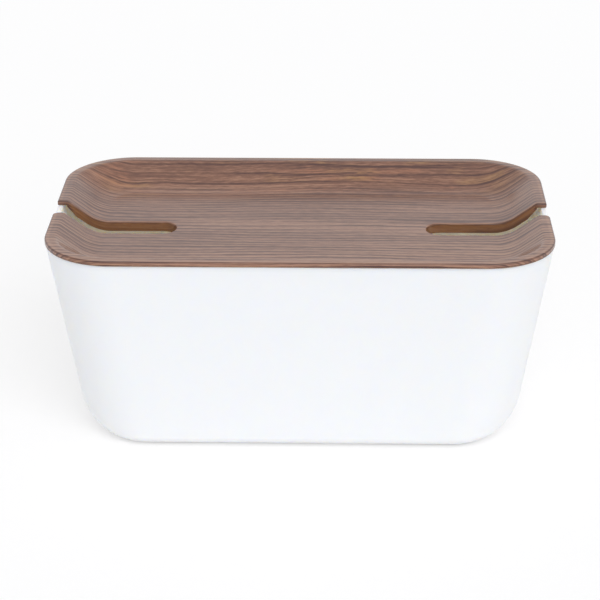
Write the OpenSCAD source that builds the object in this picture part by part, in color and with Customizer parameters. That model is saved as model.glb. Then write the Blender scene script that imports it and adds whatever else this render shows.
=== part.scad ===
// Cable management box: a tapered shell, a lift-off dished lid with two
// end slots, and four rubber feet.
// Millimetres. X runs along the box, Y goes from front to back, Z is up,
// and the feet stand on Z = 0.

/* [Box] */
// length over the lid
box_length = 300; // [260:1:340]
// depth over the lid
box_depth = 178; // [150:1:210]
// height from the ground to the top of the rim
box_height = 128.6; // [104:0.2:155]
// plan radius of the lid's corners
corner_radius = 42.5; // [38:0.5:50]

/* [Body] */
// thickness of the body's walls and base
body_wall = 3; // [2:0.5:4]
// how far the bottom of each end lies inside its top
end_taper = 18.1; // [12:0.1:24]
// how far the bottom of the front and the back lies inside its top
side_taper = 18.1; // [12:0.1:24]
// how much smaller the plan corners are at the bottom
corner_taper = 2; // [0:0.5:5]
// radius of the bottom edge at the ends and the plan corners
end_bottom_radius = 24.5; // [16:0.5:30]
// radius of the bottom edge along the front and the back
side_bottom_radius = 8; // [5:0.5:12]
// how far the lid stands out over the body
lid_overhang = 0.4; // [0.2:0.1:1.5]

/* [Rear outlet] */
// length of the lead opening in the back wall
outlet_length = 60; // [40:1:90]
// height of the lead opening, round at both ends
outlet_height = 28; // [18:1:38]
// middle of the lead opening above the base
outlet_middle = 46; // [46:1:80]

/* [Lid] */
// thickness of the lid's plate
lid_plate = 3; // [2:0.5:4]
// width of the flat rim round the dish
rim_flat = 5; // [4:0.5:8]
// radius where the rim rolls over into the dish
roll_radius = 4.5; // [4.5:0.5:8]
// depth of the dish below the rim
dish_depth = 13.4; // [10:0.2:18]
// steepness of the dish's slope
slope_angle = 36; // [30:1:42]
// radius where the slope sweeps into the dish's floor
sweep_radius = 24; // [16:1:28]
// rounding of the rim's upper edge
edge_round = 1; // [0.4:0.2:1.6]
// rounding of the rim's lower edge
edge_under = 0.5; // [0.2:0.1:0.8]

/* [Locating rib] */
// how far the rib hangs into the body
rib_drop = 4; // [2.5:0.5:7]
// thickness of the rib
rib_wall = 1.8; // [1.2:0.2:3]
// gap between the rib and the body's wall
rib_clearance = 0.4; // [0.3:0.1:1]
// gap in the rib beside each slot
rib_break = 12; // [6:1:20]

/* [Slots] */
// width of each slot
slot_width = 19; // [16:0.5:24]
// reach of each slot from the lid's end
slot_reach = 73.6; // [60:0.2:92]
// rounding of the corners at each slot's inner end
slot_end_round = 9; // [2:0.5:9]
// middle of the slots, toward the back of the lid
slot_shift = -1.5; // [-5:0.5:5]
// how far the slot's lip hangs below the plate
lip_drop = 3.5; // [1:0.5:5]
// thickness of the slot's lip
lip_wall = 1.8; // [1.2:0.2:3]
// rounding of the mouth's front corner
mouth_front = 3.5; // [1:0.5:6]
// rounding of the mouth's rear corner
mouth_rear = 1; // [0.5:0.5:6]

/* [Feet] */
// diameter of each rubber foot
foot_diameter = 12; // [8:1:16]
// how far the feet stand out below the base
foot_stand = 1; // [0.6:0.2:2]
// depth of the pocket that each foot is stuck into
foot_pocket = 0.8; // [0.4:0.2:1.2]
// from the edge of the flat base to the middle of each foot
foot_edge = 13; // [11:1:18]
// gap round each foot in its pocket
foot_slack = 0.2; // [0.1:0.1:0.5]

/* [Hidden] */

// steps in a quarter circle of plan corner, and in the rounded profiles
corner_steps = 14;
edge_steps = 3;
roll_steps = 5;
sweep_steps = 7;
bottom_steps = 9;
// cutters run past the faces they cut by this much
over = 1;

half_length = box_length / 2;
half_depth = box_depth / 2;
seat_z = box_height - lid_plate;
taper_height = seat_z - foot_stand;

// how far the walls lean from upright
end_lean = atan(end_taper / taper_height);
side_lean = atan(side_taper / taper_height);

// the slope and its two arcs, in a section across the rim
slope_run = (dish_depth - (roll_radius + sweep_radius) * (1 - cos(slope_angle))) / sin(slope_angle);
roll_end_t = rim_flat + roll_radius * sin(slope_angle);
roll_end_z = -roll_radius * (1 - cos(slope_angle));
slope_end_t = roll_end_t + slope_run * cos(slope_angle);
slope_end_z = roll_end_z - slope_run * sin(slope_angle);
sweep_centre_t = slope_end_t + sweep_radius * sin(slope_angle);
sweep_centre_z = slope_end_z + sweep_radius * cos(slope_angle);

foot_x = half_length - lid_overhang - end_taper - bottom_tangent(end_bottom_radius, end_lean) - foot_edge;
foot_y = half_depth - lid_overhang - side_taper - bottom_tangent(side_bottom_radius, side_lean) - foot_edge;
foot_top_z = foot_stand + foot_pocket;

// a slot's inner end keeps this much straight between its two roundings, however narrow the slot is
slot_end_flat = 1;
slot_end_radius = min(slot_end_round, (slot_width - slot_end_flat) / 2);
// where the rounding at each slot's inner end begins
slot_end_x = half_length - slot_reach + slot_end_radius;
// share of the lip's drop at the top of the slope, and of the plate that the rib runs up into
lip_start = 0.2;
rib_root = 0.4;

colour_body = "whitesmoke";
colour_lid = "rosybrown";
colour_foot = "dimgray";

// distance from the virtual corner to where an arc meets the flat base
function bottom_tangent(radius, lean) = radius * tan((90 - lean) / 2);

// how far a bottom edge's arc lies inside the straight wall, at a height above the base
function bottom_in(radius, lean, height) =
    height >= radius * (1 - sin(lean)) ? 0
    : bottom_tangent(radius, lean) - sqrt(pow(radius, 2) - pow(radius - height, 2)) + height * tan(lean);

// one level of a rounded rectangle, counter-clockwise from above
function ring(half_x, half_y, radius, z) = [
    for (quarter = [0:3])
        for (step = [0:corner_steps])
            let (
                turn = quarter * 90 + step * 90 / corner_steps,
                side_x = quarter == 0 || quarter == 3 ? 1 : -1,
                side_y = quarter < 2 ? 1 : -1
            )
            [side_x * (half_x - radius) + radius * cos(turn), side_y * (half_y - radius) + radius * sin(turn), z]
];

// a level parallel to the lid's outline, t further in, z from the rim's top
function lid_ring(t, z) = ring(half_length - t, half_depth - t, corner_radius - t, box_height + z);

// a level of the body's wall, further in than its outer face by end_in and side_in
function body_ring(end_in, side_in, z) =
    let (down = (seat_z - z) / taper_height)
    ring(
        half_length - lid_overhang - end_taper * down - end_in,
        half_depth - lid_overhang - side_taper * down - side_in,
        corner_radius - lid_overhang - corner_taper * down - end_in,
        z
    );

// levels of the bottom edge on a face t inside the outer one, from the flat base up to the wall
function bottom_rings(t, base_z) = [
    for (step = [0:bottom_steps])
        let (height = (end_bottom_radius - t) * (1 - cos(step * (90 - end_lean) / bottom_steps)))
        body_ring(
            t + bottom_in(end_bottom_radius - t, end_lean, height),
            t + bottom_in(side_bottom_radius - t, side_lean, height),
            base_z + height
        )
];

// points of the dish's section: distance in, height, lean of the face
function dish_points() = concat(
    [for (step = [0:roll_steps])
        let (lean = step * slope_angle / roll_steps)
        [rim_flat + roll_radius * sin(lean), -roll_radius * (1 - cos(lean)), lean]],
    [for (step = [0:sweep_steps])
        let (lean = slope_angle * (1 - step / sweep_steps))
        [sweep_centre_t - sweep_radius * sin(lean), sweep_centre_z - sweep_radius * cos(lean), lean]]
);

// the dish's levels at a depth below its face, from the rim inwards
function dish_rings(depth) = [
    for (point = dish_points())
        lid_ring(point[0] - depth * sin(point[2]), point[1] - depth * cos(point[2]))
];

function backwards(list) = [for (i = [len(list) - 1:-1:0]) list[i]];

// a closed solid through levels that all have the same number of points
module loft(levels) {
    count = len(levels[0]);
    points = [for (level = levels) each level];
    last = (len(levels) - 1) * count;
    sides = [
        for (row = [0:len(levels) - 2])
            for (i = [0:count - 1])
                let (
                    a = row * count + i,
                    b = row * count + (i + 1) % count
                )
                each [[a, a + count, b + count], [a, b + count, b]]
    ];
    base = [[for (i = [0:count - 1]) i]];
    top = [[for (i = [count - 1:-1:0]) last + i]];
    polyhedron(points = points, faces = concat(base, sides, top), convexity = 8);
}

// plan of both slots, grown by a margin, from z_low to z_high
module slot_prisms(margin, z_low, z_high) {
    for (side = [-1, 1])
        translate([0, 0, z_low])
            linear_extrude(z_high - z_low)
                union() {
                    for (edge = [-1, 1])
                        translate([side * slot_end_x, slot_shift + edge * (slot_width / 2 - slot_end_radius)])
                            circle(r = slot_end_radius + margin, $fn = 48);
                    translate([side * (slot_end_x - (slot_end_radius + margin) / 2), slot_shift])
                        square([slot_end_radius + margin, slot_width - 2 * slot_end_radius], center = true);
                    translate([side * (slot_end_x + half_length + over) / 2, slot_shift])
                        square([half_length + over - slot_end_x, slot_width + 2 * margin], center = true);
                }
}

// rounds one upright corner of a slot's mouth; edge is 1 at the rear and -1 at the front
module mouth_cutter(side, edge, radius) {
    slot_y = slot_shift + edge * slot_width / 2;
    translate([0, 0, seat_z - over])
        linear_extrude(lid_plate + 2 * over)
            difference() {
                translate([side * (half_length + (over - radius) / 2), slot_y + edge * radius / 2])
                    square([radius + over, radius], center = true);
                translate([side * (half_length - radius), slot_y + edge * radius])
                    circle(r = radius, $fn = 48);
            }
}

// up the outer face, over the rim and down the inner face
module shell_form() {
    loft(concat(
        bottom_rings(0, foot_stand),
        [body_ring(0, 0, seat_z), body_ring(body_wall, body_wall, seat_z)],
        backwards(bottom_rings(body_wall, foot_stand + body_wall))
    ));
}

module outlet_cutter() {
    straight = outlet_length - outlet_height;
    translate([0, half_depth + over, foot_stand + outlet_middle])
        rotate([90, 0, 0])
            linear_extrude(side_taper + body_wall + 2 * over)
                union() {
                    square([straight, outlet_height], center = true);
                    for (side = [-1, 1])
                        translate([side * straight / 2, 0])
                            circle(d = outlet_height, $fn = 64);
                }
}

module body_shell() {
    color(colour_body)
        difference() {
            shell_form();
            outlet_cutter();
            for (side_x = [-1, 1], side_y = [-1, 1])
                translate([side_x * foot_x, side_y * foot_y, foot_stand - over])
                    cylinder(d = foot_diameter + 2 * foot_slack, h = foot_pocket + over, $fn = 48);
        }
}

// rim and dish in one plate of even thickness
module lid_plate_form() {
    rim_edge = concat(
        [lid_ring(edge_under, -lid_plate), lid_ring(0, edge_under - lid_plate)],
        [for (step = [0:edge_steps])
            let (turn = step * 90 / edge_steps)
            lid_ring(edge_round * (1 - cos(turn)), -edge_round * (1 - sin(turn)))]
    );
    loft(concat(backwards(dish_rings(lid_plate)), rim_edge, dish_rings(0)));
}

// the dish again, lower down: only its part beside the slots is kept
module lip_form() {
    points = dish_points();
    start = points[roll_steps];
    middle = [(roll_end_t + slope_end_t) / 2, (roll_end_z + slope_end_z) / 2, slope_angle];
    swept = [for (i = [roll_steps + 1:len(points) - 1]) points[i]];
    face = concat([start, middle], swept);
    upper = [for (point = face)
        lid_ring(point[0] - lid_plate / 2 * sin(point[2]), point[1] - lid_plate / 2 * cos(point[2]))];
    lower = [for (i = [0:len(face) - 1])
        let (
            point = face[i],
            drop = i == 0 ? lip_drop * lip_start : lip_drop
        )
        lid_ring(point[0] - lid_plate * sin(point[2]), point[1] - lid_plate * cos(point[2]) - drop)];
    loft(concat(backwards(lower), upper));
}

module slot_lips() {
    intersection() {
        lip_form();
        slot_prisms(lip_wall, seat_z - dish_depth - lip_drop - over, box_height);
    }
}

// plan of the body's wall at the rib's lower edge, some way inside its inner face
module rib_outline(inset) {
    inside = body_wall + inset;
    polygon([for (point = body_ring(inside, inside, seat_z - rib_drop)) [point[0], point[1]]]);
}

// stays inside the body's leaning wall and stops short of the slots
module locating_rib() {
    translate([0, 0, seat_z - rib_drop])
        linear_extrude(rib_drop + lid_plate * rib_root)
            difference() {
                rib_outline(rib_clearance);
                rib_outline(rib_clearance + rib_wall);
                translate([0, slot_shift])
                    square([box_length, slot_width + 2 * rib_break], center = true);
            }
}

module lid_tray() {
    color(colour_lid)
        difference() {
            union() {
                lid_plate_form();
                slot_lips();
                locating_rib();
            }
            slot_prisms(0, seat_z - dish_depth - lip_drop - 2 * over, box_height + over);
            for (side = [-1, 1]) {
                mouth_cutter(side, -1, mouth_front);
                mouth_cutter(side, 1, mouth_rear);
            }
        }
}

module foot(side_x, side_y) {
    color(colour_foot)
        translate([side_x * foot_x, side_y * foot_y, 0])
            cylinder(d = foot_diameter, h = foot_top_z, $fn = 48);
}

body_shell();
lid_tray();
foot(-1, -1);  // foot_front_left
foot(1, -1);  // foot_front_right
foot(-1, 1);  // foot_rear_left
foot(1, 1);  // foot_rear_right
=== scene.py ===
import math

import bmesh
import bpy
from mathutils import Matrix, Vector


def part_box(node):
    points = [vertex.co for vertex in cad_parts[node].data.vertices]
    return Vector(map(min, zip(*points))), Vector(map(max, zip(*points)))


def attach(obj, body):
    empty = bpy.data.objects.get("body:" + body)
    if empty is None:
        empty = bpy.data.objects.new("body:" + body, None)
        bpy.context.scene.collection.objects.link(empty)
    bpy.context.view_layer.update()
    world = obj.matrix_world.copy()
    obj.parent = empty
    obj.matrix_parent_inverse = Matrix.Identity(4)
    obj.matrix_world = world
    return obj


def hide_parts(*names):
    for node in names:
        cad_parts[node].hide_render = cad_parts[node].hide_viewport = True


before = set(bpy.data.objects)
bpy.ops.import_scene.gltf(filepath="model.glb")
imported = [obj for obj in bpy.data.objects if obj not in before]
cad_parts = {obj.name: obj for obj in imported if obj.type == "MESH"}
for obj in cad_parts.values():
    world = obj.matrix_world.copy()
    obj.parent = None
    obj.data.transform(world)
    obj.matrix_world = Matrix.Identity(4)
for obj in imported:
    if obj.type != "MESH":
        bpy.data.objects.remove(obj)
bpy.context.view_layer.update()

mm = 0.001
lidLow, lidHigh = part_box("lid_tray")
bodyLow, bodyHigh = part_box("body_shell")
print("frame loaded:", len(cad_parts), "nodes")

view = {
    "target": Vector((-0.9, 0, 66.6)) * mm,
    "elevation": 23.732,  # degrees above the horizon
    "turn": 1.383,  # degrees, anticlockwise from above
    "roll": -0.184,
    "distance": 1240.56 * mm,
    "focalPixels": 1995.57,
    "framePixels": 600,
    "sensor": 36.0,
}


def addCamera():
    elevation, turn, roll = (math.radians(view[key]) for key in ("elevation", "turn", "roll"))
    forward = Vector((
        -math.sin(turn) * math.cos(elevation),
        math.cos(turn) * math.cos(elevation),
        -math.sin(elevation),
    ))
    level = Vector((math.cos(turn), math.sin(turn), 0))
    above = level.cross(forward)
    right = math.cos(roll) * level + math.sin(roll) * above
    above = right.cross(forward)
    camera = bpy.data.cameras.new("camera")
    camera.sensor_width = view["sensor"]
    camera.lens = view["focalPixels"] / view["framePixels"] * view["sensor"]
    camera.clip_end = 50
    holder = bpy.data.objects.new("camera", camera)
    bpy.context.scene.collection.objects.link(holder)
    rotation = Matrix((right, above, -forward)).transposed().to_4x4()
    holder.matrix_world = Matrix.Translation(view["target"] - view["distance"] * forward) @ rotation
    bpy.context.scene.camera = holder


addCamera()
print("camera placed")


def makePiece(name, bm):
    mesh = bpy.data.meshes.new(name)
    bm.to_mesh(mesh)
    bm.free()
    piece = bpy.data.objects.new(name, mesh)
    bpy.context.scene.collection.objects.link(piece)
    return piece


def smoothPiece(piece, angle):
    piece.data.shade_smooth()
    piece.data.set_sharp_from_angle(angle=math.radians(angle))
    weighted = piece.modifiers.new("weighted", "WEIGHTED_NORMAL")
    weighted.keep_sharp = True
    weighted.weight = 80


tolerance = {
    "merge": 0.005 * mm,  # points this close become one
    "fold": 50,  # degrees; two faces that fold more than this share an edge to be rounded
    "upright": 0.3,  # a face whose normal rises less than this is a wall
    "full": 0.9999,  # share of a full rounding that a bevel can take without its ends meeting
}


def roundedFace(bm, halfX, halfY, radius, z, steps):
    # a flat face with round corners, facing up
    made = bmesh.ops.create_grid(bm, x_segments=1, y_segments=1, size=1)
    bmesh.ops.scale(bm, vec=(halfX, halfY, 1), verts=made["verts"])
    bmesh.ops.translate(bm, vec=(0, 0, z), verts=made["verts"])
    rounded = bmesh.ops.bevel(
        bm, geom=made["verts"], offset=radius, offset_type="OFFSET", segments=steps,
        profile=0.5, affect="VERTICES", material=-1,
    )
    return rounded["verts"][0].link_faces[0]


def insetFace(bm, face, thickness, depth=0.0):
    # the face shrinks by the thickness and moves along its normal by the depth
    bmesh.ops.inset_region(
        bm, faces=[face], thickness=thickness, depth=depth, use_even_offset=True, use_boundary=True,
    )


def stepInwards(bm, face, path):
    # path holds (distance in, height) pairs, and each pair becomes one ring of the surface
    side = 1 if face.normal.z > 0 else -1
    for (before, low), (after, high) in zip(path, path[1:]):
        insetFace(bm, face, after - before, (high - low) * side)


def raiseFaces(bm, rise):
    # draws every face up into closed solids
    grown = bmesh.ops.extrude_face_region(bm, geom=bm.faces[:], use_keep_orig=True)
    raised = [item for item in grown["geom"] if isinstance(item, bmesh.types.BMVert)]
    bmesh.ops.translate(bm, vec=(0, 0, rise), verts=raised)
    bmesh.ops.recalc_face_normals(bm, faces=bm.faces[:])


def combine(piece, tool, operation):
    # the tool is used up
    change = piece.modifiers.new("combine", "BOOLEAN")
    change.object = tool
    change.operation = operation
    change.solver = "EXACT"
    bpy.context.view_layer.update()
    graph = bpy.context.evaluated_depsgraph_get()
    result = bpy.data.meshes.new_from_object(piece.evaluated_get(graph))
    piece.modifiers.remove(change)
    old, spent = piece.data, tool.data
    piece.data = result
    bpy.data.objects.remove(tool)
    bpy.data.meshes.remove(old)
    bpy.data.meshes.remove(spent)


lid = {
    "corner": 42.5 * mm,
    "plate": 3 * mm,
    "rimFlat": 5 * mm,
    "roll": 4.5 * mm,
    "sweep": 24 * mm,
    "slope": 36,  # degrees
    "depth": 13.4 * mm,
    "edgeTop": 1 * mm,
    "edgeBottom": 0.4 * mm,
    "filmDepth": 1 * mm,  # a face this little below the dish's face is printed
    "filmEdge": 1.2 * mm,  # and so is all that lies this close to the outline
    "ribFrom": 4.38 * mm,
    "ribCorner": 38.6 * mm,
    "ribWall": 1.8 * mm,
    "ribDrop": 4 * mm,
    "ribBreak": 12 * mm,
    "ribRoot": 0.4,  # share of the plate that the rib runs up into
    "cornerSteps": 28,
    "rollSteps": 8,
    "sweepSteps": 12,
}
slots = {
    "width": 19 * mm,
    "reach": 73.6 * mm,
    "middle": -1.5 * mm,
    "endRound": 9 * mm,
    "lipDrop": 3.5 * mm,
    "lipStart": 0.2,  # share of the drop at the top of the slope
    "lipWall": 1.8 * mm,
    "mouthFront": 3.5 * mm,
    "mouthRear": 1 * mm,
    "flare": 10 * mm,  # the cutter widens by this past the lid's end, so that its mouth can be rounded
    "cutPast": 2 * mm,
    "cutBelow": 40 * mm,
    "cutAbove": 5 * mm,
    "steps": 20,
    "strips": 20,  # the slot's walls are cut into this many strips
    "strip": 4 * mm,
    "stripArea": 20 * mm * mm,  # a wall face smaller than this isn't cut
}
halfX = (lidHigh.x - lidLow.x) / 2
halfY = (lidHigh.y - lidLow.y) / 2
rimZ = lidHigh.z
seatZ = bodyHigh.z


def dishSection():
    # (distance in, height below the rim, lean) of the dish's face
    lean = math.radians(lid["slope"])
    roll, sweep = lid["roll"], lid["sweep"]
    straight = (lid["depth"] - (roll + sweep) * (1 - math.cos(lean))) / math.sin(lean)
    points = []
    for step in range(lid["rollSteps"] + 1):
        angle = lean * step / lid["rollSteps"]
        points.append((lid["rimFlat"] + roll * math.sin(angle), -roll * (1 - math.cos(angle)), angle))
    floorT = points[-1][0] + straight * math.cos(lean) + sweep * math.sin(lean)
    for step in range(lid["sweepSteps"] + 1):
        angle = lean * (1 - step / lid["sweepSteps"])
        rise = sweep * (1 - math.cos(angle))
        points.append((floorT - sweep * math.sin(angle), -lid["depth"] + rise, angle))
    return points


section = dishSection()


def below(points, depth, drop=0.0):
    # the section at a depth below its face, as (distance in, height) pairs
    return [(t - depth * math.sin(a), rimZ + z - depth * math.cos(a) - drop) for t, z, a in points]


def distanceIn(x, y):
    # from the lid's outline to a point of the plan
    across, along = abs(x) - (halfX - lid["corner"]), abs(y) - (halfY - lid["corner"])
    if across > 0 and along > 0:
        return lid["corner"] - math.hypot(across, along)
    return min(halfX - abs(x), halfY - abs(y))


def faceHeight(x, y):
    # height of the dish's face above a point of the plan
    t = distanceIn(x, y)
    if t <= section[0][0]:
        return rimZ
    for (t0, z0, _), (t1, z1, _) in zip(section, section[1:]):
        if t <= t1:
            return rimZ + z0 + (z1 - z0) * (t - t0) / (t1 - t0)
    return rimZ - lid["depth"]


def doubledFace(bm, face, fall):
    # leaves the face where it is and adds its twin below, with walls between
    grown = bmesh.ops.extrude_face_region(bm, geom=[face], use_keep_orig=True)
    twin = [item for item in grown["geom"] if isinstance(item, bmesh.types.BMFace)][0]
    bmesh.ops.translate(bm, vec=(0, 0, -fall), verts=twin.verts[:])
    bmesh.ops.recalc_face_normals(bm, faces=bm.faces[:])
    return twin


def makePlate():
    bm = bmesh.new()
    upper = roundedFace(bm, halfX, halfY, lid["corner"], rimZ, lid["cornerSteps"])
    lower = doubledFace(bm, upper, lid["plate"])
    stepInwards(bm, upper, [(0, rimZ)] + below(section, 0))
    stepInwards(bm, lower, [(0, rimZ - lid["plate"])] + below(section, lid["plate"]))
    return makePiece("lidTray", bm)


def slotPrism(grow, flared):
    # both slots' plans, drawn up through the whole lid
    bm = bmesh.new()
    low, high = rimZ - slots["cutBelow"], rimZ + slots["cutAbove"]
    over, flare = slots["cutPast"], slots["flare"]
    end = halfX + 0.02 * mm
    half = slots["width"] / 2 + grow
    inner = halfX - slots["reach"] - grow
    for side in (1, -1):
        corners = [(inner, -half), (inner, half)]
        if flared:
            corners += [(end, half), (end, half + flare), (end + over, half + flare)]
            corners += [(end + over, -half - flare), (end, -half - flare), (end, -half)]
        else:
            corners += [(end + over, half), (end + over, -half)]
        spots = [bm.verts.new((side * x, y + slots["middle"], low)) for x, y in corners]
        loop = [bm.edges.new(pair) for pair in zip(spots, spots[1:] + spots[:1])]
        bmesh.ops.edgeloop_fill(bm, edges=loop)
        rounds = [(spot, slots["endRound"] + grow) for spot in spots[:2]]
        if flared:
            rounds += [(spots[2], slots["mouthRear"]), (spots[-1], slots["mouthFront"])]
        for spot, radius in rounds:
            bmesh.ops.bevel(
                bm, geom=[spot], offset=radius * tolerance["full"], offset_type="OFFSET",
                segments=slots["steps"], profile=0.5, affect="VERTICES", material=-1,
            )
    bmesh.ops.remove_doubles(bm, verts=bm.verts[:], dist=0.01 * mm)
    raiseFaces(bm, high - low)
    return makePiece("slotPrism", bm)


def makeLips():
    # a lower copy of the dish, of which only a band beside each slot is kept
    face = section[lid["rollSteps"]:]
    (t0, z0, a0), (t1, z1, _) = face[0], face[1]
    face.insert(1, ((t0 + t1) / 2, (z0 + z1) / 2, a0))
    upperPath = below(face, lid["plate"] / 2)
    lowerPath = below(face[:1], lid["plate"], slots["lipDrop"] * slots["lipStart"])
    lowerPath += below(face[1:], lid["plate"], slots["lipDrop"])
    start, top, base = lowerPath[0][0], upperPath[0][1], lowerPath[0][1]
    bm = bmesh.new()
    upper = roundedFace(bm, halfX - start, halfY - start, lid["corner"] - start, top, lid["cornerSteps"])
    lower = doubledFace(bm, upper, top - base)
    stepInwards(bm, upper, [(start, top)] + upperPath)
    stepInwards(bm, lower, lowerPath)
    band = makePiece("slotLips", bm)
    combine(band, slotPrism(slots["lipWall"], flared=False), "INTERSECT")
    return band


def makeRib():
    bm = bmesh.new()
    inset, low = lid["ribFrom"], seatZ - lid["ribDrop"]
    face = roundedFace(bm, halfX - inset, halfY - inset, lid["ribCorner"], low, lid["cornerSteps"])
    insetFace(bm, face, lid["ribWall"])
    bmesh.ops.delete(bm, geom=[face], context="FACES_ONLY")
    half = slots["width"] / 2 + lid["ribBreak"]
    for edgeY, outward in ((slots["middle"] + half, 1), (slots["middle"] - half, -1)):
        parts = bm.verts[:] + bm.edges[:] + bm.faces[:]
        bmesh.ops.bisect_plane(bm, geom=parts, plane_co=(0, edgeY, 0), plane_no=(0, outward, 0))
    gap = [each for each in bm.faces if abs(each.calc_center_median().y - slots["middle"]) < half]
    bmesh.ops.delete(bm, geom=gap, context="FACES")
    raiseFaces(bm, lid["ribDrop"] + lid["plate"] * lid["ribRoot"])
    return makePiece("locatingRib", bm)


def sharpEdges(bm):
    fold = math.radians(tolerance["fold"])
    return [edge for edge in bm.edges if len(edge.link_faces) == 2 and edge.calc_face_angle(0) >= fold]


def cornerEdges(bm, upward):
    # edges between an upright wall and a face that looks up (or down, for upward -1)
    found = []
    for edge in sharpEdges(bm):
        walls = [face for face in edge.link_faces if abs(face.normal.z) < tolerance["upright"]]
        flats = [face for face in edge.link_faces if face.normal.z * upward > tolerance["upright"]]
        if len(walls) == 1 and len(flats) == 1:
            found.append(edge)
    return found


def roundEdges(bm, edges, radius, steps):
    bmesh.ops.bevel(
        bm, geom=edges, offset=radius, offset_type="OFFSET", segments=steps, profile=0.5,
        affect="EDGES", material=-1, loop_slide=True,
    )


def filmSide(face):
    # true where the printed film shows: everything but the hidden underside
    middle = face.calc_center_median()
    depth = faceHeight(middle.x, middle.y) - middle.z
    if face.normal.z < -tolerance["upright"]:
        return False
    if face.normal.z > 0.5:
        return depth < lid["filmDepth"]
    if depth < lid["filmDepth"] or distanceIn(middle.x, middle.y) < lid["filmEdge"]:
        return True
    ahead = middle + face.normal * 2 * mm  # a slot's wall looks into its slot
    return abs(ahead.y - slots["middle"]) < slots["width"] / 2 and abs(ahead.x) > halfX - slots["reach"]


def splitSlotWalls(bm):
    # short upright strips, so that the film's coordinates follow the dish's curve
    for step in range(slots["strips"]):
        across = (halfX - slots["reach"]) + step * slots["strip"]
        for side in (1, -1):
            walls = [
                face for face in bm.faces
                if abs(face.normal.z) < tolerance["upright"] and face.calc_area() > slots["stripArea"]
                and abs(face.calc_center_median().y - slots["middle"]) < slots["width"]
            ]
            parts = set(walls)
            for face in walls:
                parts.update(face.edges[:] + face.verts[:])
            bmesh.ops.bisect_plane(bm, geom=list(parts), plane_co=(side * across, 0, 0), plane_no=(1, 0, 0))


def makeLid():
    tray = makePlate()
    combine(tray, makeLips(), "UNION")
    combine(tray, makeRib(), "UNION")
    combine(tray, slotPrism(0, flared=True), "DIFFERENCE")
    bm = bmesh.new()
    bm.from_mesh(tray.data)
    bmesh.ops.remove_doubles(bm, verts=bm.verts[:], dist=tolerance["merge"])
    bmesh.ops.dissolve_degenerate(bm, dist=tolerance["merge"], edges=bm.edges[:])
    roundEdges(bm, cornerEdges(bm, 1), lid["edgeTop"], steps=4)
    roundEdges(bm, cornerEdges(bm, -1), lid["edgeBottom"], steps=2)
    splitSlotWalls(bm)
    bmesh.ops.recalc_face_normals(bm, faces=bm.faces[:])
    for face in bm.faces:
        face.material_index = 0 if filmSide(face) else 1
    film = bm.verts.layers.float_vector.new("film")
    for vert in bm.verts:
        # the film's own coordinates run on over an edge and down the wall; the third is the
        # depth below the face, or minus the way in from the rim's rounding
        outward = Vector((vert.normal.x, vert.normal.y, 0))
        depth = faceHeight(vert.co.x, vert.co.y) - vert.co.z
        if depth < 0.01 * mm:
            inwards = distanceIn(vert.co.x, vert.co.y) - lid["edgeTop"]
            depth = -min(max(inwards, 0), lid["rimFlat"] - lid["edgeTop"])
        if outward.length > 0.05:
            outward.normalize()
        vert[film] = Vector((vert.co.x, vert.co.y, depth)) + outward * max(depth, 0)
    print("lid: faces", len(bm.faces), "open edges", sum(not edge.is_manifold for edge in bm.edges))
    bm.to_mesh(tray.data)
    bm.free()
    return tray


tray = makeLid()

shell = {
    "overhang": 0.4 * mm,
    "taper": 18.1 * mm,
    "cornerTop": 42.1 * mm,
    "cornerTaper": 2 * mm,
    "wall": 3 * mm,
    "endRadius": 24.5 * mm,  # bottom edge at the ends and the plan corners
    "sideRadius": 8 * mm,  # bottom edge along the front and the back
    "bottomSteps": 20,
    "cornerSteps": 28,
    "rimRound": 0.5 * mm,
    "outletLength": 60 * mm,
    "outletHeight": 28 * mm,
    "outletMiddle": 46 * mm,
    "outletRound": 0.8 * mm,
    "outletCut": 60 * mm,  # length of the outlet's cutter, of which the next value lies inside the plan
    "outletCutInside": 55 * mm,
    "outletAbove": 25 * mm,  # sharp edges above this height and below the rim are the outlet's
    "footSlack": 0.2 * mm,
}


def shellOutline(bm, z, endIn, sideIn):
    down = (seatZ - z) / (seatZ - bodyLow.z)
    leaning = shell["overhang"] + shell["taper"] * down
    radius = shell["cornerTop"] - shell["cornerTaper"] * down - endIn
    return roundedFace(
        bm, halfX - leaning - endIn, halfY - leaning - sideIn, radius, z, shell["cornerSteps"],
    )


def bottomIn(radius, lean, height):
    # how far the bottom edge's arc lies inside the straight wall, at a height above the base
    if height >= radius * (1 - math.sin(lean)):
        return 0
    tangent = radius * math.tan((math.pi / 2 - lean) / 2)
    return tangent - math.sqrt(radius ** 2 - (radius - height) ** 2) + height * math.tan(lean)


def hangSkin(bm, rimEdges, inset):
    # one face of the shell, hung from its rim level by level and closed by its base
    lean = math.atan(shell["taper"] / (seatZ - bodyLow.z))
    endRadius, sideRadius = shell["endRadius"] - inset, shell["sideRadius"] - inset
    above = rimEdges
    for step in range(shell["bottomSteps"], -1, -1):
        height = endRadius * (1 - math.cos((math.pi / 2 - lean) * step / shell["bottomSteps"]))
        endIn, sideIn = (inset + bottomIn(radius, lean, height) for radius in (endRadius, sideRadius))
        level = shellOutline(bm, bodyLow.z + inset + height, endIn, sideIn)
        edges = level.edges[:]
        bmesh.ops.bridge_loops(bm, edges=above + edges)
        if step:
            bmesh.ops.delete(bm, geom=[level], context="FACES_ONLY")
        above = edges


def outletPrism():
    bm = bmesh.new()
    halfLong, halfTall = shell["outletLength"] / 2, shell["outletHeight"] / 2
    face = roundedFace(bm, halfLong, halfTall, halfTall * tolerance["full"], 0, 20)
    doubledFace(bm, face, shell["outletCut"])
    spot = (0, halfY - shell["outletCutInside"], bodyLow.z + shell["outletMiddle"])
    turned = Matrix.Translation(spot) @ Matrix.Rotation(math.radians(90), 4, "X")
    bmesh.ops.transform(bm, matrix=turned, verts=bm.verts[:])
    return makePiece("outletPrism", bm)


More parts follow.
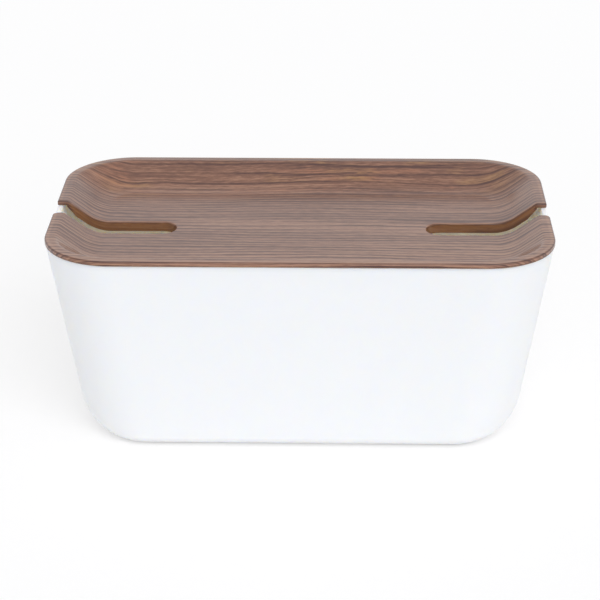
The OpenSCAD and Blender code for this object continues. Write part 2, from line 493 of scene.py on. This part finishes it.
def footPlaces():
    for name in ("foot_front_left", "foot_front_right", "foot_rear_left", "foot_rear_right"):
        low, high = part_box(name)
        yield name, (low + high) / 2, (high.x - low.x) / 2, high.z


def footDisc(bm, middle, radius, low, high):
    made = bmesh.ops.create_circle(bm, cap_ends=True, segments=foot["segments"], radius=radius)
    bmesh.ops.translate(bm, vec=(middle.x, middle.y, high), verts=made["verts"])
    return doubledFace(bm, made["verts"][0].link_faces[0], high - low)


def facesInside(face):
    # true for a face of the cavity, below the rim's rounding
    middle = face.calc_center_median()
    if middle.z > seatZ - shell["rimRound"] or middle.z < bodyLow.z + shell["wall"] / 2:
        return False
    if abs(face.normal.z) > 0.9:
        return face.normal.z > 0
    return face.normal.x * middle.x + face.normal.y * middle.y < 0


def makeShell():
    bm = bmesh.new()
    rim = shellOutline(bm, seatZ, 0, 0)
    insetFace(bm, rim, shell["wall"])
    outerRim, innerRim = [edge for edge in bm.edges if edge.is_boundary], rim.edges[:]
    bmesh.ops.delete(bm, geom=[rim], context="FACES_ONLY")
    hangSkin(bm, outerRim, 0)
    hangSkin(bm, innerRim, shell["wall"])
    bmesh.ops.recalc_face_normals(bm, faces=bm.faces[:])
    box = makePiece("boxShell", bm)
    combine(box, outletPrism(), "DIFFERENCE")
    pockets = bmesh.new()
    for _, middle, radius, high in footPlaces():
        footDisc(pockets, middle, radius + shell["footSlack"], bodyLow.z - mm, high)
    combine(box, makePiece("footPockets", pockets), "DIFFERENCE")
    bm = bmesh.new()
    bm.from_mesh(box.data)
    bmesh.ops.remove_doubles(bm, verts=bm.verts[:], dist=tolerance["merge"])
    rims, mouths = [], []
    for edge in sharpEdges(bm):
        middle = (edge.verts[0].co + edge.verts[1].co) / 2
        if abs(middle.z - seatZ) < 0.1 * mm:
            rims.append(edge)
        elif middle.z > shell["outletAbove"]:
            mouths.append(edge)
    roundEdges(bm, rims, shell["rimRound"], steps=3)
    roundEdges(bm, mouths, shell["outletRound"], steps=3)
    bmesh.ops.recalc_face_normals(bm, faces=bm.faces[:])
    for face in bm.faces:
        face.material_index = 1 if facesInside(face) else 0
    print("box: faces", len(bm.faces), "open edges", sum(not edge.is_manifold for edge in bm.edges))
    bm.to_mesh(box.data)
    bm.free()
    return box


foot = {
    "edge": 0.35 * mm,
    "grooveAt": 1.6 * mm,
    "groove": 0.5 * mm,
    "grooveDepth": 0.25 * mm,
    "segments": 48,
}


def makeFoot(name, middle, radius, high):
    bm = bmesh.new()
    lower = footDisc(bm, middle, radius, 0, high)
    insetFace(bm, lower, foot["grooveAt"])
    insetFace(bm, lower, foot["groove"], -foot["grooveDepth"])
    insetFace(bm, lower, foot["groove"], foot["grooveDepth"])
    rims = [edge for edge in bm.edges if edge.calc_face_angle(0) > math.radians(60)]
    roundEdges(bm, rims, foot["edge"], steps=3)
    words = name.split("_")
    return makePiece(words[0] + "".join(word.title() for word in words[1:]), bm)


box = makeShell()
feet = {name: makeFoot(name, middle, radius, high) for name, middle, radius, high in footPlaces()}


def place(nodes, kind, **settings):
    # settings name the node's properties
    node = nodes.new(kind)
    for key, value in settings.items():
        setattr(node, key, value)
    return node


class Wiring:
    # short calls for the nodes that every finish here uses
    def __init__(self, tree):
        self.tree, self.nodes, self.links = tree, tree.nodes, tree.links

    def feed(self, socket, value):
        if isinstance(value, bpy.types.NodeSocket):
            self.links.new(value, socket)
        else:
            socket.default_value = value

    def math(self, operation, a, b=0.0):
        node = place(self.nodes, "ShaderNodeMath", operation=operation)
        self.feed(node.inputs[0], a)
        self.feed(node.inputs[1], b)
        return node.outputs[0]

    def vector(self, x, y, z):
        node = place(self.nodes, "ShaderNodeCombineXYZ")
        for socket, value in zip(node.inputs, (x, y, z)):
            self.feed(socket, value)
        return node.outputs[0]

    def noise(self, vector, scale, detail, roughness=0.5):
        node = place(self.nodes, "ShaderNodeTexNoise")
        self.links.new(vector, node.inputs["Vector"])
        node.inputs["Scale"].default_value = scale
        node.inputs["Detail"].default_value = detail
        node.inputs["Roughness"].default_value = roughness
        return node.outputs["Fac"]

    def remap(self, value, low, high, toLow=0.0, toHigh=1.0):
        node = place(self.nodes, "ShaderNodeMapRange", clamp=True)
        for socket, item in zip(node.inputs, (value, low, high, toLow, toHigh)):
            self.feed(socket, item)
        return node.outputs[0]

    def mix(self, factor, a, b):
        node = place(self.nodes, "ShaderNodeMix", data_type="RGBA")
        self.feed(node.inputs["Factor"], factor)
        self.feed(node.inputs[6], a)
        self.feed(node.inputs[7], b)
        return node.outputs[2]

    def bump(self, height, strength, distance):
        node = place(self.nodes, "ShaderNodeBump")
        node.inputs["Strength"].default_value = strength
        node.inputs["Distance"].default_value = distance
        self.links.new(height, node.inputs["Height"])
        return node.outputs["Normal"]


def newFinish(name, colour, roughness):
    material = bpy.data.materials.new(name)
    material.use_nodes = True
    material.diffuse_color = colour
    shader = material.node_tree.nodes["Principled BSDF"]
    shader.inputs["Base Color"].default_value = colour
    shader.inputs["Roughness"].default_value = roughness
    return material, shader, Wiring(material.node_tree)


def makeMouldedGroup():
    # fine moulded skin: a height for the bump, a roughness change and a faint tone change
    group = bpy.data.node_groups.new("mouldedSkin", "ShaderNodeTree")
    group.interface.new_socket("Grain Size", in_out="INPUT", socket_type="NodeSocketFloat")
    for name in ("Height", "Unevenness", "Scuff"):
        group.interface.new_socket(name, in_out="OUTPUT", socket_type="NodeSocketFloat")
    wires = Wiring(group)
    given = place(group.nodes, "NodeGroupInput")
    out = place(group.nodes, "NodeGroupOutput")
    where = place(group.nodes, "ShaderNodeTexCoord").outputs["Object"]
    scaled = place(group.nodes, "ShaderNodeVectorMath", operation="SCALE")
    group.links.new(where, scaled.inputs[0])
    group.links.new(wires.math("DIVIDE", 1.0, given.outputs[0]), scaled.inputs["Scale"])
    fine = wires.noise(scaled.outputs[0], 1.0, 1.0)
    broad = wires.noise(where, 9.0, 3.0)
    marks = wires.noise(where, 260.0, 4.0, 0.7)
    wires.links.new(fine, out.inputs[0])
    wires.links.new(wires.remap(broad, 0.3, 0.7), out.inputs[1])
    wires.links.new(wires.remap(marks, 0.62, 0.75), out.inputs[2])
    return group


mouldedSkin = makeMouldedGroup()


moulded = {
    "underPlastic": {
        "colour": (0.30, 0.175, 0.095, 1), "tint": (0.325, 0.195, 0.11, 1),
        "roughness": 0.5, "spread": 0.05, "grain": 0.4 * mm, "depth": 0.03 * mm,
    },
    "whitePlastic": {
        "colour": (0.953, 0.947, 0.948, 1), "tint": (0.963, 0.957, 0.958, 1),
        "roughness": 0.42, "spread": 0.04, "grain": 0.5 * mm, "depth": 0.02 * mm,
        "lightIn": 0.8, "lightReach": (1.0, 0.85, 0.65), "lightScale": 6 * mm,
    },
    # the cavity's faces: the same white plastic as the outside, painted beige to stand for the warm shade
    # inside the box
    "warmShadeInnerPlastic": {
        "colour": (0.945, 0.885, 0.785, 1), "tint": (0.952, 0.895, 0.80, 1),
        "roughness": 0.42, "spread": 0.04, "grain": 0.5 * mm, "depth": 0.02 * mm,
        "lightIn": 1.0, "lightReach": (1.0, 0.82, 0.62), "lightScale": 14 * mm,
    },
    "footRubber": {
        "colour": (0.018, 0.018, 0.019, 1), "tint": (0.03, 0.03, 0.031, 1),
        "roughness": 0.8, "spread": 0.06, "grain": 0.3 * mm, "depth": 0.05 * mm,
    },
}


def dressMoulded(name):
    look = moulded[name]
    roughness, spread = look["roughness"], look["spread"]
    material, shader, wires = newFinish(name, look["colour"], roughness)
    skin = place(wires.nodes, "ShaderNodeGroup", node_tree=mouldedSkin)
    skin.inputs["Grain Size"].default_value = look["grain"]
    tone = wires.mix(skin.outputs["Unevenness"], look["colour"], look["tint"])
    wires.links.new(tone, shader.inputs["Base Color"])
    uneven = wires.remap(skin.outputs["Unevenness"], 0, 1, roughness - spread, roughness + spread)
    rough = wires.math("ADD", uneven, wires.math("MULTIPLY", skin.outputs["Scuff"], spread))
    wires.links.new(rough, shader.inputs["Roughness"])
    wires.links.new(wires.bump(skin.outputs["Height"], 0.35, look["depth"]), shader.inputs["Normal"])
    if "lightIn" in look:  # the thin wall lets some daylight in
        shader.inputs["Subsurface Weight"].default_value = look["lightIn"]
        shader.inputs["Subsurface Radius"].default_value = look["lightReach"]
        shader.inputs["Subsurface Scale"].default_value = look["lightScale"]
    return material


walnut = {
    "dark": (0.085, 0.038, 0.031, 1),
    "middle": (0.200, 0.096, 0.064, 1),
    "light": (0.345, 0.185, 0.122, 1),
    "ochre": (0.340, 0.195, 0.075, 1),
    "orange": (0.400, 0.165, 0.088, 1),
    "wall": (0.315, 0.143, 0.056, 1),
    "boldRing": 6.2,  # millimetres between the lines
    "ring": 4.4,
    "fineRing": 1.9,
    "figureFrom": 52.0,  # the bold figure starts this far behind the middle, in millimetres
    "roughness": 0.36,
    "specular": 0.3,
    "coat": 0.4,
    "coatRoughness": 0.16,
}


def makeWalnutFilm():
    # the film's own coordinates, in millimetres, carry long wavy growth lines along the box
    material, shader, wires = newFinish("walnutFilm", walnut["middle"], walnut["roughness"])
    shader.inputs["Specular IOR Level"].default_value = walnut["specular"]
    shader.inputs["Coat Weight"].default_value = walnut["coat"]
    shader.inputs["Coat Roughness"].default_value = walnut["coatRoughness"]
    film = place(wires.nodes, "ShaderNodeAttribute", attribute_name="film").outputs["Vector"]
    parts = place(wires.nodes, "ShaderNodeSeparateXYZ")
    wires.links.new(film, parts.inputs[0])
    x, y, depth = (wires.math("MULTIPLY", parts.outputs[axis], 1000.0) for axis in (0, 1, 2))

    def streaks(along, across, seed, source=y, detail=1.0, roughness=0.5):
        # noise whose features are so many millimetres long and wide
        spot = wires.vector(wires.math("DIVIDE", x, along), wires.math("DIVIDE", source, across), seed)
        return wires.noise(spot, 1.0, detail, roughness)

    def spread(value, reach):
        # a value round 0.5 becomes one round 0
        return wires.math("MULTIPLY", wires.math("SUBTRACT", value, 0.5), reach)

    def drift(along, across, seed, reach):
        return spread(streaks(along, across, seed), reach)

    swayed = wires.math("ADD", y, drift(150, 70, 2.3, 16.0))
    swayed = wires.math("ADD", swayed, drift(42, 16, 5.1, 1.5))
    swayed = wires.math("ADD", swayed, drift(9, 4, 7.7, 0.8))

    def rings(spacing, sway, seed, sharpness):
        # (how dark, ring's number): each ring darkens slowly, then ends sharply
        turns = wires.math("DIVIDE", wires.math("ADD", swayed, drift(190, 26, seed, sway)), spacing)
        within = wires.math("FRACT", turns)
        rise = wires.math("POWER", within, sharpness)
        fall = wires.remap(within, 0.9, 1.0, 1.0, 0.0)
        return wires.math("MULTIPLY", rise, fall), wires.math("FLOOR", turns)

    strong, strongNumber = rings(walnut["boldRing"], 16.0, 3.9, 4.5)
    plain, plainNumber = rings(walnut["ring"], 9.0, 31.7, 2.2)
    fine, fineNumber = rings(walnut["fineRing"], 5.0, 12.4, 2.0)

    def perRing(number, along, seed, low, high, toLow, toHigh):
        # a value of each ring's own, which also changes along it
        spot = wires.vector(wires.math("DIVIDE", x, along), wires.math("MULTIPLY", number, 7.31), seed)
        return wires.remap(wires.noise(spot, 1.0, 1.0), low, high, toLow, toHigh)

    bold = wires.remap(y, walnut["figureFrom"], walnut["figureFrom"] + 16)
    strong = wires.math("MULTIPLY", strong, perRing(strongNumber, 90, 1.1, 0.3, 0.6, 0.4, 1.3))
    strong = wires.math("MULTIPLY", strong, bold)
    plain = wires.math("MULTIPLY", plain, perRing(plainNumber, 80, 1.1, 0.3, 0.65, 0.25, 1.2))
    plain = wires.math("MULTIPLY", plain, wires.remap(bold, 0, 1, 1.0, 0.3))
    fine = wires.math("MULTIPLY", fine, perRing(fineNumber, 60, 6.2, 0.35, 0.65, 0.1, 1.0))
    broad = spread(streaks(260, 17, 8.4, swayed, 2.0), 0.7)
    tone = wires.math("ADD", wires.remap(y, -70, 30, 0.95, 0.75), broad)
    tone = wires.math("ADD", tone, spread(streaks(45, 1.1, 14.2, swayed, 2.0, 0.6), 0.8))
    fibres = streaks(6.5, 0.6, 4.2, swayed, 2.0, 0.65)
    tone = wires.math("ADD", tone, spread(fibres, 1.25))
    tone = wires.math("SUBTRACT", tone, wires.math("MULTIPLY", strong, 0.95))
    tone = wires.math("SUBTRACT", tone, plain)
    tone = wires.math("SUBTRACT", tone, wires.math("MULTIPLY", fine, 0.65))
    pores = wires.remap(streaks(6.0, 0.4, 9.6, swayed), 0.6, 0.7)

    # painted highlight on the flat just inside the rim's edge and along the slots' top edges, painted shade
    # on the rim's rounding, and a dark line low on the rim's outer face
    slotEdge = slots["width"] / mm / 2
    fromSlot = wires.math("SUBTRACT", y, slots["middle"] / mm)
    besideSlot = wires.remap(wires.math("ABSOLUTE", fromSlot), slotEdge + 1.2, slotEdge + 1.6)
    fromMiddle = wires.math("ABSOLUTE", x)
    rim = wires.math("MAXIMUM", besideSlot, wires.remap(fromMiddle, halfX / mm - 9, halfX / mm - 6))

    def band(rise, full, hold, gone, strength):
        # depths in millimetres between which a line along an edge comes up, stays and fades
        rising, falling = wires.remap(depth, rise, full), wires.remap(depth, hold, gone, 1.0, 0.0)
        return wires.math("MULTIPLY", wires.math("MULTIPLY", rising, falling), strength)

    # painted highlight on the flat just before the rim's rounding, less painted shade on the rounding
    # itself
    rimLines = wires.math("SUBTRACT", band(-2.2, -1.2, -0.2, 0.1, 0.22), band(0.0, 0.2, 0.5, 0.9, 0.5))
    # and a dark line low on the rim's outer face
    rimLines = wires.math("SUBTRACT", rimLines, band(1.9, 2.4, 4.0, 5.0, 0.45))
    tone = wires.math("ADD", tone, wires.math("MULTIPLY", rimLines, rim))
    onSlot = wires.math("SUBTRACT", 1.0, rim)
    # painted shade: a soft dark strip just behind each slot
    behind = wires.remap(fromSlot, 9.5, 10.5)
    behind = wires.math("MULTIPLY", behind, wires.remap(fromSlot, 11.5, 14.5, 1.0, 0.0))
    behind = wires.math("MULTIPLY", behind, wires.remap(fromMiddle, 74, 78))
    tone = wires.math("SUBTRACT", tone, wires.math("MULTIPLY", behind, 0.2))
    # painted highlight along the rounded top edge of each slot's wall
    tone = wires.math("ADD", tone, wires.math("MULTIPLY", band(0.0, 0.05, 0.25, 0.45, 0.45), onSlot))
    ramp = place(wires.nodes, "ShaderNodeValToRGB")
    stops = ramp.color_ramp.elements
    stops[0].position, stops[0].color = 0.0, walnut["dark"]
    stops[1].position, stops[1].color = 1.0, walnut["light"]
    stops.new(0.55).color = walnut["middle"]
    wires.links.new(tone, ramp.inputs[0])
    clear = wires.math("MULTIPLY", wires.remap(tone, 0.35, 0.7), wires.remap(bold, 0, 1, 0.2, 1.0))
    clear = wires.math("MULTIPLY", clear, wires.remap(streaks(40, 1.2, 27.3, swayed), 0.35, 0.6, 0.25, 1.0))
    ochre = wires.math("MULTIPLY", perRing(strongNumber, 40, 15.3, 0.54, 0.64, 0.0, 0.65), clear)
    orange = wires.math("MULTIPLY", perRing(strongNumber, 36, 21.9, 0.54, 0.66, 0.0, 0.45), clear)
    colour = wires.mix(ochre, ramp.outputs["Color"], walnut["ochre"])
    colour = wires.mix(orange, colour, walnut["orange"])
    onWall = wires.math("MULTIPLY", onSlot, wires.remap(depth, 0.4, 1.2, 0.0, 0.62))
    colour = wires.mix(onWall, colour, walnut["wall"])
    # a slot's wall has dark dashes under its edge, and painted shade low on the wall where the right slope
    # rises
    dashes = wires.remap(streaks(8, 30, 33.1), 0.4, 0.6)
    dashes = wires.math("MULTIPLY", band(0.7, 1.0, 1.4, 2.2, 0.4), dashes)
    rightSlopeShade = wires.math("MULTIPLY", band(3.2, 5.4, 8.0, 9.0, 0.62), wires.remap(x, 98, 108))
    dashesAndSlopeShade = wires.math("MULTIPLY", wires.math("MAXIMUM", dashes, rightSlopeShade), onSlot)
    colour = wires.mix(dashesAndSlopeShade, colour, walnut["dark"])
    colour = wires.mix(wires.math("MULTIPLY", pores, 0.4), colour, walnut["dark"])
    wires.links.new(colour, shader.inputs["Base Color"])
    wires.links.new(wires.remap(tone, 0.0, 1.0, 0.42, 0.31), shader.inputs["Roughness"])
    height = wires.math("ADD", wires.math("MULTIPLY", fibres, 0.5), wires.math("MULTIPLY", tone, 0.5))
    wires.links.new(wires.bump(height, 0.2, 0.05 * mm), shader.inputs["Normal"])
    return material


walnutFilm = makeWalnutFilm()
underPlastic, whitePlastic, warmShadeInnerPlastic, footRubber = (dressMoulded(name) for name in moulded)
print("finishes made")

for material in (walnutFilm, underPlastic):
    tray.data.materials.append(material)
smoothPiece(tray, 30)
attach(tray, "lid")
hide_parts("lid_tray")

for material in (whitePlastic, warmShadeInnerPlastic):
    box.data.materials.append(material)
smoothPiece(box, 30)
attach(box, "box")
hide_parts("body_shell")

for name, piece in feet.items():
    piece.data.materials.append(footRubber)
    smoothPiece(piece, 40)
    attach(piece, "box")
    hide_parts(name)
print("pieces dressed")

studio = {
    "dome": 0.74,
    "floor": (0.955, 0.957, 0.96, 1),
    "shade": (0.57, 0.57, 0.575, 1),  # how strongly the floor shows a shadow
    "glow": 0.425,  # lifts the shaded floor back to near white
    "floorSize": 12.0,
    "floorRoughness": 0.9,
    "sun": {"side": 21, "height": 40, "angle": 50, "strength": 1.17},  # degrees, side counts from the front
}


def seenDirectly(wires):
    # 1 for what the camera, a reflection or clear plastic shows, 0 for light that only bounces
    path = place(wires.nodes, "ShaderNodeLightPath")
    seen = wires.math("MAXIMUM", path.outputs["Is Camera Ray"], path.outputs["Is Glossy Ray"])
    return wires.math("MAXIMUM", seen, path.outputs["Is Transmission Ray"])


def makeFloor():
    bm = bmesh.new()
    bmesh.ops.create_grid(bm, x_segments=1, y_segments=1, size=studio["floorSize"] / 2)
    floor = makePiece("floor", bm)
    material, shader, wires = newFinish("paleFloor", studio["floor"], studio["floorRoughness"])
    shader.inputs["Specular IOR Level"].default_value = 0.0
    shader.inputs["Emission Color"].default_value = (1, 1, 1, 1)
    seen = seenDirectly(wires)
    wires.links.new(wires.mix(seen, studio["floor"], studio["shade"]), shader.inputs["Base Color"])
    wires.links.new(wires.math("MULTIPLY", seen, studio["glow"]), shader.inputs["Emission Strength"])
    floor.data.materials.append(material)


def lightStudio():
    world = bpy.data.worlds.new("studio")
    bpy.context.scene.world = world
    world.use_nodes = True
    wires = Wiring(world.node_tree)
    background = wires.nodes["Background"]
    background.inputs["Color"].default_value = (1, 1, 1, 1)
    strength = wires.remap(seenDirectly(wires), 0, 1, studio["dome"], 1.0)
    wires.links.new(strength, background.inputs["Strength"])
    sun = studio["sun"]
    lamp = bpy.data.lights.new("sun", "SUN")
    lamp.angle, lamp.energy = math.radians(sun["angle"]), sun["strength"]
    holder = bpy.data.objects.new("sun", lamp)
    bpy.context.scene.collection.objects.link(holder)
    side, height = math.radians(sun["side"]), math.radians(sun["height"])
    toSun = Vector((
        math.sin(side) * math.cos(height), -math.cos(side) * math.cos(height), math.sin(height),
    ))
    holder.location = toSun * 3
    holder.rotation_euler = toSun.to_track_quat("Z", "Y").to_euler()


makeFloor()
lightStudio()
bpy.context.scene.view_settings.view_transform = "Standard"
print("studio lit")
